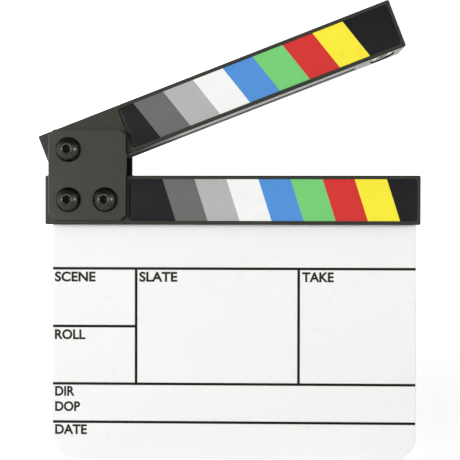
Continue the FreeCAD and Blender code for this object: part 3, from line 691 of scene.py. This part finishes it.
class CLAPPER_OT_screws(bpy.types.Operator):
    """Model the hinge's button head screws with their sockets and threads"""
    bl_idname = "clapper.screws"
    bl_label = "Hinge screws"

    def execute(self, context):
        sizes = context.scene.clapper_screws
        oxide = context.scene.clapper_colours.oxide
        low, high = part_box("pivot_screw")
        seat = low.y + sizes.head_height
        screw = turned("pivot_button_screw", PIVOT, seat, self.profile(sizes, high.y - seat))
        # black oxide: dark, oily and dimpled by forging, with painted shade towards the head's rim
        rim = (0.74 * sizes.head_radius, 0.95 * sizes.head_radius)
        screw.data.materials.append(plated_metal("steel, black oxide", oxide, 0.25, 0.1, 0.7, rim))
        self.wear_mouth(screw, sizes, seat, oxide)
        self.cut_socket(screw, sizes, seat, oxide)
        self.note_reach(screw)
        crease = 35
        settle(screw, "base", crease)
        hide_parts("pivot_screw")

        row_low, row_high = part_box("plate_screws")
        height = (row_low.z + row_high.z) / 2
        copies = []
        for x in (row_low.x + sizes.head_radius, row_high.x - sizes.head_radius):
            activate(screw)
            bpy.ops.object.duplicate(linked=False)
            copy = bpy.context.object
            copy.data.transform(Matrix.Translation((x - PIVOT.x, 0, height - PIVOT.z)))
            copies.append(copy)
        pair = join("plate_button_screws", copies)
        settle(pair, "base", crease)
        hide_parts("plate_screws")
        return {"FINISHED"}

    def profile(self, sizes, shank):
        """Radius and depth behind the seat of each ring, from the shank's end to the socket's mouth."""
        crest, root = sizes.thread_radius, sizes.thread_radius - sizes.thread_depth
        pitch, turns, dome_steps = sizes.thread_pitch, 9, 12
        # the shank ends in a bevel, narrower than the thread's root
        narrower, bevel = 0.2 * MM, 0.5 * MM
        rings = [(root - narrower, shank)]
        depth = shank - bevel
        # each turn has a flat crest, a flank, a flat root and a flank
        for _ in range(turns):
            rings += [(crest, depth), (crest, depth - 0.12 * pitch),
                      (root, depth - 0.5 * pitch), (root, depth - 0.62 * pitch)]
            depth -= pitch
        rings += [(crest, depth), (crest, 0), (sizes.head_radius, 0)]
        # the dome is an arc about a point behind the seat
        outer, rim, flat, top = sizes.head_radius, sizes.head_rim, sizes.dome_flat, sizes.head_height
        centre = (flat ** 2 + top ** 2 - outer ** 2 - rim ** 2) / (2 * (top - rim))
        radius = math.hypot(outer, rim - centre)
        first = math.asin(outer / radius)
        last = math.asin(sizes.mouth_radius / radius)
        for step in range(dome_steps + 1):
            slope = first + (last - first) * step / dome_steps
            rings.append((radius * math.sin(slope), -centre - radius * math.cos(slope)))
        # the countersink runs on inside the hexagon, which cuts its end off
        inner = 0.4 * sizes.socket_width
        rings.append((inner, rings[-1][1] + (sizes.mouth_radius - inner) * math.tan(sizes.mouth_slope)))
        return rings

    def wear_mouth(self, screw, sizes, seat, oxide):
        """Rub the black off the countersink, where keys go in; its paler metal is also a painted highlight.
        """
        # rubbed paler by keys, and a painted highlight round the socket
        wear_and_highlight = [channel * 2.3 for channel in oxide[:3]]
        screw.data.materials.append(
            plated_metal("steel, black oxide, rubbed by keys", wear_and_highlight, 0.35, 0.1, 0.5))
        for face in screw.data.polygons:
            reach = math.hypot(face.center.x - PIVOT.x, face.center.z - PIVOT.z)
            if face.center.y < seat and reach < sizes.mouth_radius:
                face.material_index = 1

    def cut_socket(self, screw, sizes, seat, oxide):
        """Cut the hexagon with its drill point; the cut's faces get painted shade."""
        ahead, drill_point, point_share = 0.5 * MM, 0.7 * MM, 0.1
        mouth = seat - sizes.head_height - ahead
        floor = seat - sizes.head_height + sizes.socket_depth
        corner = sizes.socket_width / math.sqrt(3)
        deselect()
        bpy.ops.mesh.primitive_cylinder_add(
            vertices=6, radius=corner, depth=floor - mouth, end_fill_type="NGON",
            location=(PIVOT.x, (mouth + floor) / 2, PIVOT.z), rotation=(math.radians(90), 0, 0))
        cutter = added("socket_cutter")
        edit_faces(cutter, lambda face: face.center.y > floor - NEAR)
        extrude_scaled(drill_point, point_share, (PIVOT.x, floor, PIVOT.z))
        bpy.ops.object.mode_set(mode="OBJECT")
        # painted shade inside the hexagon socket
        painted_socket_shade = [channel * 0.25 for channel in oxide[:3]]
        cutter.data.materials.append(
            plated_metal("steel, black oxide, inside a socket", painted_socket_shade, 0.5, 0.1, 0.5))
        activate(screw)
        bpy.ops.object.modifier_add(type="BOOLEAN")
        cut = screw.modifiers[-1]
        cut.operation = "DIFFERENCE"
        cut.object = cutter
        cut.solver = "EXACT"
        cut.material_mode = "TRANSFER"
        bpy.ops.object.modifier_apply(modifier=cut.name)
        bpy.data.objects.remove(cutter, do_unlink=True)

    def note_reach(self, screw):
        """Note each point's distance from the axis, which the finish goes by."""
        reach = screw.data.attributes.new("reach", "FLOAT", "POINT")
        for point, vertex in zip(reach.data, screw.data.vertices):
            point.value = math.hypot(vertex.co.x - PIVOT.x, vertex.co.z - PIVOT.z)


class CLAPPER_OT_hardware(bpy.types.Operator):
    """Finish the hinge's nuts, washers and bush, and the small screws"""
    bl_idname = "clapper.hardware"
    bl_label = "Nuts, washers and small screws"

    def execute(self, context):
        colours = context.scene.clapper_colours
        # black oxide: dark and oily
        dress(plated_metal("steel, black oxide, small screws", colours.oxide, 0.34, 0.08, 0.6),
              "board_screws", "lower_magnet_screw", "upper_magnet_screw")
        # bright zinc: pale blue grey with a fine frosting
        dress(plated_metal("steel, bright zinc", colours.zinc, 0.3, 0.08, 0.5),
              "pivot_washer", "plate_washers", "pivot_lock_nut", "plate_lock_nuts")
        # tempered and oiled: a dull warm grey
        dress(plated_metal("spring steel, oiled", linear("77746E"), 0.38, 0.08, 0.5), "pivot_disc_spring")
        # turned brass: a clear soft yellow
        dress(plated_metal("brass, turned", linear("D9B36A"), 0.28, 0.06, 0.4), "pivot_bush")
        dress(moulded_nylon("nylon, moulded"), "front_friction_washer", "rear_friction_washer",
              "pivot_nut_insert", "plate_nut_inserts")
        return {"FINISHED"}


class CLAPPER_OT_magnets(bpy.types.Operator):
    """Finish the magnets as nickel plate"""
    bl_idname = "clapper.magnets"
    bl_label = "Magnets"

    def execute(self, context):
        # nickel plate: warm, bright, faintly frosted
        dress(plated_metal("magnet, nickel plated", linear("D8D4CB"), 0.22, 0.06, 0.8),
              "lower_magnet", "upper_magnet")
        return {"FINISHED"}


class CLAPPER_OT_studio(bpy.types.Operator):
    """Set up the white sweep, the soft light and the camera"""
    bl_idname = "clapper.studio"
    bl_label = "Studio"

    def execute(self, context):
        settings = context.scene.clapper_studio
        self.sweep()
        self.room(context.scene, settings.ambient)
        aim = Vector((0, 0, 0.1))
        self.softbox("key softbox", Vector((-3.5, -4.0, 0.38)), aim, (2.6, 0.88), settings.key_power)
        self.softbox("fill softbox", Vector((2.35, -1.55, 0.3)), aim, (0.7, 0.56), settings.fill_power)
        self.softbox("rear softbox", Vector((-1.25, 1.05, 0.4)), aim, (0.9, 0.6), settings.rear_power)
        self.camera(context.scene, settings)
        context.scene.view_settings.view_transform = "Standard"
        return {"FINISHED"}

    def sweep(self):
        """A floor that curves up into a backdrop."""
        width, forwards, wall, bend = 4, 0.5, 2, 0.6
        deselect()
        bpy.ops.mesh.primitive_plane_add(size=width, location=(0, -forwards, 0))
        floor = added("white_sweep")
        back = max(vertex.co.y for vertex in floor.data.vertices)
        edit_edges(floor, lambda a, b: min(a.y, b.y) > back - NEAR)
        bpy.ops.mesh.extrude_region_move(TRANSFORM_OT_translate={"value": (0, 0, wall)})
        bpy.ops.object.mode_set(mode="OBJECT")
        bevel_edges(floor, lambda a, b: max(a.z, b.z) < NEAR and min(a.y, b.y) > back - NEAR, bend, 12)
        bpy.ops.object.shade_smooth_by_angle(angle=math.radians(40))
        floor.data.materials.append(self.paper())

    def paper(self):
        """Matt white paper, faintly mottled, which is lifted to white for the eye and in reflections."""
        material, tree, shader, place = new_material(
            "paper, white sweep", roughness=0.9, specular_ior_level=0.1, emission_color=(1, 1, 1, 1))
        # paper is mottled over about 40 mm
        fibre = add_node(tree, "ShaderNodeTexNoise", {}, {
            "Vector": place, "Scale": 1 / (40 * MM), "Detail": 3.0})
        tree.links.new(tinted(tree, linear("ECECEC"), fibre.outputs["Fac"], 0.98, 1.0),
                       shader.inputs["Base Color"])
        # the lift is least near the object, so that its shadow shows, and most beyond the lamps
        away = add_node(tree, "ShaderNodeVectorMath", {"operation": "LENGTH"}, {0: place})
        light = add_node(tree, "ShaderNodeValToRGB", {}, {"Fac": away.outputs["Value"]})
        stops = light.color_ramp.elements
        for metres, share in ((0.1, 0.52), (0.4, 0.6), (0.85, 0.62), (1.0, 0.8)):
            stops.new(metres).color = (share, share, share, 1)
        stops.remove(stops[0])
        stops.remove(stops[-1])
        # the backdrop faces the lamps and needs less
        upwards = facing(tree)["Z"]
        need = add_node(tree, "ShaderNodeMapRange", {}, {"Value": upwards, "To Min": 0.32, "To Max": 1.0})
        glow = add_node(tree, "ShaderNodeMath", {"operation": "MULTIPLY"}, {
            0: light.outputs["Color"], 1: need.outputs["Result"]})
        lift = add_node(tree, "ShaderNodeMath", {"operation": "MULTIPLY"}, {
            0: self.seen(tree), 1: glow.outputs[0]})
        tree.links.new(lift.outputs[0], shader.inputs["Emission Strength"])
        return material

    def seen(self, tree):
        """A socket that is 1 for rays from the eye, a reflection or clear material."""
        path = add_node(tree, "ShaderNodeLightPath", {}, {})
        either = add_node(tree, "ShaderNodeMath", {"operation": "MAXIMUM"}, {
            0: path.outputs["Is Camera Ray"], 1: path.outputs["Is Glossy Ray"]})
        return add_node(tree, "ShaderNodeMath", {"operation": "MAXIMUM"}, {
            0: either.outputs[0], 1: path.outputs["Is Transmission Ray"]}).outputs[0]

    def room(self, scene, ambient):
        """Even room light, white to the eye and in reflections."""
        world = bpy.data.worlds.new("studio room")
        scene.world = world
        world.use_nodes = True
        tree = world.node_tree
        tree.nodes.clear()
        share = add_node(tree, "ShaderNodeMapRange", {}, {
            "Value": self.seen(tree), "To Min": ambient, "To Max": 1.0})
        # the walls are white, and the ceiling over them is dim
        way = add_node(tree, "ShaderNodeTexCoord", {}, {}).outputs["Generated"]
        height = add_node(tree, "ShaderNodeSeparateXYZ", {}, {"Vector": way}).outputs["Z"]
        ceiling = add_node(tree, "ShaderNodeMapRange", {"interpolation_type": "SMOOTHSTEP"}, {
            "Value": height, "From Min": 0.3, "From Max": 0.85, "To Min": 1.0, "To Max": 0.2})
        strength = add_node(tree, "ShaderNodeMath", {"operation": "MULTIPLY"}, {
            0: share.outputs["Result"], 1: ceiling.outputs["Result"]})
        light = add_node(tree, "ShaderNodeBackground", {}, {
            "Color": (1, 1, 1, 1), "Strength": strength.outputs[0]})
        add_node(tree, "ShaderNodeOutputWorld", {}, {"Surface": light.outputs["Background"]})

    def softbox(self, name, place, aim, size, power):
        """A rectangular lamp that points at its aim."""
        deselect()
        bpy.ops.object.light_add(type="AREA", location=place)
        lamp = bpy.context.object
        lamp.name = name
        lamp.rotation_euler = (aim - place).to_track_quat("-Z", "Y").to_euler()
        lamp.data.shape = "RECTANGLE"
        lamp.data.size, lamp.data.size_y = size
        lamp.data.energy = power

    def camera(self, scene, settings):
        """The camera, turned from looking down to looking at the board."""
        deselect()
        bpy.ops.object.camera_add(location=settings.camera_place)
        camera = bpy.context.object
        camera.name = "photograph"
        level = math.radians(90)
        turn = Matrix.Identity(4)
        for angle, axis in ((settings.camera_yaw, "Z"), (settings.camera_pitch, "X"),
                            (settings.camera_roll, "Y"), (level, "X")):
            turn = turn @ Matrix.Rotation(angle, 4, axis)
        camera.rotation_euler = turn.to_euler()
        camera.data.sensor_fit = "HORIZONTAL"
        camera.data.lens = settings.focal_share * camera.data.sensor_width
        camera.data.clip_start = 0.01
        scene.camera = camera


class CLAPPER_PT_looks(bpy.types.Panel):
    """Lists the clapperboard's operators and settings"""
    bl_idname = "CLAPPER_PT_looks"
    bl_label = "Clapperboard"
    bl_space_type = "VIEW_3D"
    bl_region_type = "UI"
    bl_category = "Clapperboard"

    def draw(self, context):
        for operator in OPERATORS:
            self.layout.operator(operator.bl_idname)
        for group in SETTINGS:
            settings = getattr(context.scene, group)
            for name in settings.__annotations__:
                self.layout.prop(settings, name)


OPERATORS = (CLAPPER_OT_acetal, CLAPPER_OT_board, CLAPPER_OT_labels, CLAPPER_OT_ruling,
             CLAPPER_OT_captions, CLAPPER_OT_screws, CLAPPER_OT_hardware, CLAPPER_OT_magnets,
             CLAPPER_OT_studio)
SETTINGS = {"clapper_print": PrintSizes, "clapper_screws": ScrewSizes,
            "clapper_colours": FinishColours, "clapper_studio": StudioSettings}


def register():
    for group in SETTINGS.values():
        bpy.utils.register_class(group)
    for name, group in SETTINGS.items():
        setattr(bpy.types.Scene, name, PointerProperty(type=group))
    for operator in OPERATORS:
        bpy.utils.register_class(operator)
    bpy.utils.register_class(CLAPPER_PT_looks)


def unregister():
    bpy.utils.unregister_class(CLAPPER_PT_looks)
    for operator in reversed(OPERATORS):
        bpy.utils.unregister_class(operator)
    for name in SETTINGS:
        delattr(bpy.types.Scene, name)
    for group in reversed(SETTINGS.values()):
        bpy.utils.unregister_class(group)


def main():
    register()
    bpy.ops.clapper.acetal()
    bpy.ops.clapper.board()
    bpy.ops.clapper.labels()
    bpy.ops.clapper.ruling()
    bpy.ops.clapper.captions()
    bpy.ops.clapper.screws()
    bpy.ops.clapper.hardware()
    bpy.ops.clapper.magnets()
    bpy.ops.clapper.studio()


if __name__ == "__main__":
    main()
